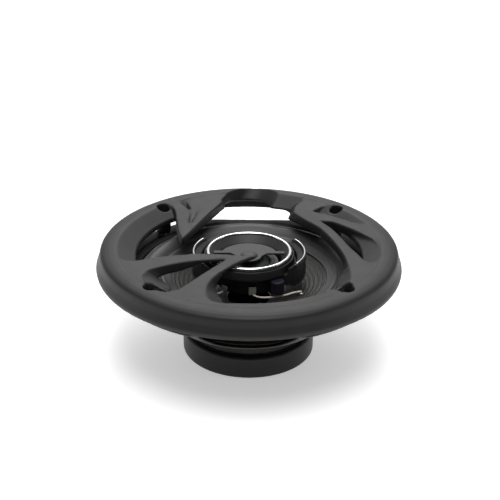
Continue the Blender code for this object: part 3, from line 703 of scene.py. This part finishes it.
def make_spider():
    radius = np.linspace(CONE_NECK_RADIUS + 0.3, SPIDER_EDGE_RADIUS, 200)
    folds = np.cos(math.pi * (radius - SPIDER_FIRST_CREST) / SPIDER_FOLD)
    first, last = SPIDER_FADE_RADII
    fade = (np.clip((radius - first) / SPIDER_FADE, 0.0, 1.0)
            * np.clip((last - radius) / SPIDER_FADE, 0.0, 1.0))
    drop = np.clip((radius - SPIDER_STEP_RADIUS) / SPIDER_STEP_WIDTH, 0.0, 1.0)
    height = (SPIDER_HEIGHT + SPIDER_FOLD_HEIGHT * folds * fade
              - SPIDER_STEP * drop * drop * (3.0 - 2.0 * drop))
    piece = turned("spider_cloth", thick(np.stack([radius, height], 1), SPIDER_HALF_THICKNESS))
    stand_for(piece, "spider")
    blend_by_radius(piece)


def half_round(middle, half_width, low, high, steps=12):
    """Section with a flat foot and a domed top."""
    angles = np.linspace(0.0, math.pi, steps)
    foot = low + 0.35 * (high - low)
    dome = [(middle + half_width * math.cos(a), foot + (high - foot) * math.sin(a)) for a in angles]
    return [(middle + half_width, low)] + dome + [(middle - half_width, low)]


def make_tweeter_trims():
    ring = turned("tweeter_bright_ring", half_round(TRIM_RADIUS, TRIM_HALF_WIDTH, *TRIM_HEIGHTS))
    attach(stand_for(ring, "tweeter_trim_ring"), "frame")
    reach = math.radians(WING_LINE_REACH)
    for name, side, turn in (("left", -1.0, math.pi), ("right", 1.0, 0.0)):
        angle = turn + np.linspace(-reach, reach, WING_LINE_POINTS)
        path = np.stack([side * WING_LINE_CENTRE + WING_LINE_RADIUS * np.cos(angle),
                         WING_LINE_RADIUS * np.sin(angle),
                         np.full(WING_LINE_POINTS, WING_LINE_HEIGHT)], 1)
        line = tube(f"wing_line_{name}", path, *WING_LINE_HALF_SIZES)
        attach(stand_for(line, f"wing_trim_{name}"), "frame")


def make_tweeter_moving_parts():
    cap_foot = (CAP_LINE[0][0], CAP_LINE[-1][1])
    cap = turned("tweeter_cap", np.vstack([curve_through(CAP_LINE, 4), [cap_foot]]), 64,
                 at=tuple(centre_of("tweeter_hub_cap")))
    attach(stand_for(cap, "tweeter_hub_cap"), "frame")
    bow = np.radians(np.linspace(1.0, 76.0, 24))
    dome_line = np.stack([DOME_RADIUS * np.sin(bow), DOME_BASE + DOME_RISE * np.cos(bow)], 1)
    dome = turned("dome_film", thick(dome_line, DOME_HALF_THICKNESS), 120)
    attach(stand_for(dome, "tweeter_dome"), "dome")
    roll = turned("dome_roll", thick(curve_through(ROLL_LINE, 6), ROLL_HALF_THICKNESS), 120)
    stand_for(roll, "tweeter_surround")
    blend_by_radius(roll)


# Lead routes from the tabs, and from the terminals, to the cone
TWEETER_LEAD_ROUTES = {
    "right": [(2.6, -23.3, 46.8), (6.5, -24.2, 45.8), (13.5, -23.3, 45.5), (21.5, -20.8, 45.7),
              (26.6, -18.0, 45.9), (30.7, -15.8, 45.4)],
    "left": [(-14.9, -18.4, 46.4), (-17.4, -19.4, 45.6), (-22.0, -19.2, 45.4), (-26.8, -17.6, 46.0),
             (-30.0, -16.0, 45.7)],
}
TINSEL_ROUTE = [(6.4, 54.8, 30.7), (6.3, 51.5, 32.2), (6.0, 46.0, 34.6), (5.6, 39.0, 35.6),
                (5.2, 33.0, 36.6), (5.0, 30.2, 39.4)]


def make_lead(name, node, route, half_width):
    """Braided lead along a route from the frame to the cone, baked in place."""
    piece = tube(name, curve_through(route, 14), half_width, half_width, 24, BRAID_STRANDS)
    stand_for(piece, node)
    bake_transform(piece)


def make_leads():
    for side, route in TWEETER_LEAD_ROUTES.items():
        make_lead(f"tweeter_lead_{side}_braid", f"tweeter_lead_{side}", route,
                  TWEETER_LEAD_HALF_WIDTH)
    for name, side in (("positive", -1.0), ("negative", 1.0)):
        route = [(side * x, y, z) for x, y, z in TINSEL_ROUTE]
        make_lead(f"tinsel_lead_{name}_braid", f"tinsel_lead_{name}", route, TINSEL_LEAD_HALF_WIDTH)


def make_eyelets():
    """A small dome of solder on each eyelet, where a lead meets the cone."""
    for side in ("left", "right"):
        node = f"cone_eyelet_{side}"
        foot, top = (corner.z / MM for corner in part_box(node))
        dome = curve_through([(1.35, foot + 0.08), (1.2, foot + 0.3), (0.9, foot + 0.4),
                              (0.6, top - 0.1), (0.3, top), (0.02, top)], 5)
        section = np.vstack([[(0.02, foot), (1.3, foot)], dome])
        piece = turned(f"eyelet_{side}_solder", section, 40, tuple(centre_of(node)))
        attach(stand_for(piece, node), "cone")


def dress_remaining_nodes():
    """CAD nodes that keep their own shape take their slot's finish."""
    for node, obj in NODES.items():
        if not obj.hide_render:
            obj.data.materials.clear()
            obj.data.materials.append(FINISHES[SLOT_OF[node]])


# ---------------------------------------------------------------- studio

def make_floor():
    half = 0.5 * FLOOR_SIZE
    mesh = bpy.data.meshes.new("floor")
    mesh.from_pydata([(-half, -half, 0.0), (half, -half, 0.0), (half, half, 0.0), (-half, half, 0.0)],
                     [], [(0, 1, 2, 3)])
    mesh.materials.append(studio_floor())
    floor = bpy.data.objects.new("floor", mesh)
    bpy.context.scene.collection.objects.link(floor)


def make_surroundings():
    """White studio: bright behind and overhead, dim at the sides and on the camera's side."""
    world = bpy.data.worlds.new("studio")
    world.use_nodes = True
    bpy.context.scene.world = world
    nodes, links = world.node_tree.nodes, world.node_tree.links
    split = nodes.new("ShaderNodeSeparateXYZ")
    links.new(nodes.new("ShaderNodeTexCoord").outputs["Generated"], split.inputs[0])

    def rise(source, low, high, dim, bright):
        node = nodes.new("ShaderNodeMapRange")
        node.interpolation_type = "SMOOTHSTEP"
        links.new(source, node.inputs["Value"])
        limits = {"From Min": low, "From Max": high, "To Min": dim, "To Max": bright}
        for socket, value in limits.items():
            node.inputs[socket].default_value = value
        return node.outputs[0]

    def combined(operation, *sources):
        node = nodes.new("ShaderNodeMath")
        node.operation = operation
        for source, socket in zip(sources, node.inputs):
            links.new(source, socket)
        return node.outputs[0]

    behind = rise(split.outputs["Y"], -0.2, 0.75, FRONT_LIGHT, BACK_LIGHT)
    overhead = rise(split.outputs["Z"], 0.45, 0.95, 0.0, TOP_LIGHT)
    middle = rise(combined("ABSOLUTE", split.outputs["X"]), 0.05, 0.75, 1.0, SIDE_SHARE)
    strength = combined("MULTIPLY", combined("MAXIMUM", behind, overhead), middle)
    links.new(strength, nodes["Background"].inputs["Strength"])
    nodes["Background"].inputs["Color"].default_value = (1.0, 1.0, 1.0, 1.0)


def add_softbox(name, place, aim, size, watts):
    light = bpy.data.lights.new(name, "AREA")
    light.shape = "DISK"
    light.size = size
    light.energy = watts
    lamp = bpy.data.objects.new(name, light)
    bpy.context.scene.collection.objects.link(lamp)
    lamp.location = place
    lamp.rotation_mode = "QUATERNION"
    lamp.rotation_quaternion = (Vector(aim) - Vector(place)).to_track_quat("-Z", "Y")


def make_camera():
    data = bpy.data.cameras.new("camera")
    data.lens = LENS
    data.sensor_width = 36.0
    data.clip_start, data.clip_end = 0.02, 50.0
    camera = bpy.data.objects.new("camera", data)
    bpy.context.scene.collection.objects.link(camera)
    elevation = math.radians(CAMERA_ELEVATION)
    back = Vector((0.0, -math.cos(elevation), math.sin(elevation)))
    roll = Matrix.Rotation(math.radians(CAMERA_ROLL), 3, "Z").to_quaternion()
    turn = (-back).to_track_quat("-Z", "Y") @ roll
    camera.location = AIM + back * CAMERA_DISTANCE
    camera.rotation_mode = "QUATERNION"
    camera.rotation_quaternion = turn
    bpy.context.scene.camera = camera


def main():
    bpy.context.scene.view_settings.view_transform = "Standard"
    make_camera()
    make_fine_copies()
    make_cone()
    make_surround()
    make_spider()
    make_tweeter_trims()
    make_tweeter_moving_parts()
    make_leads()
    make_eyelets()
    dress_remaining_nodes()
    make_floor()
    make_surroundings()
    for softbox in SOFTBOXES:
        add_softbox(*softbox)


main()
bpy.context.view_layer.update()
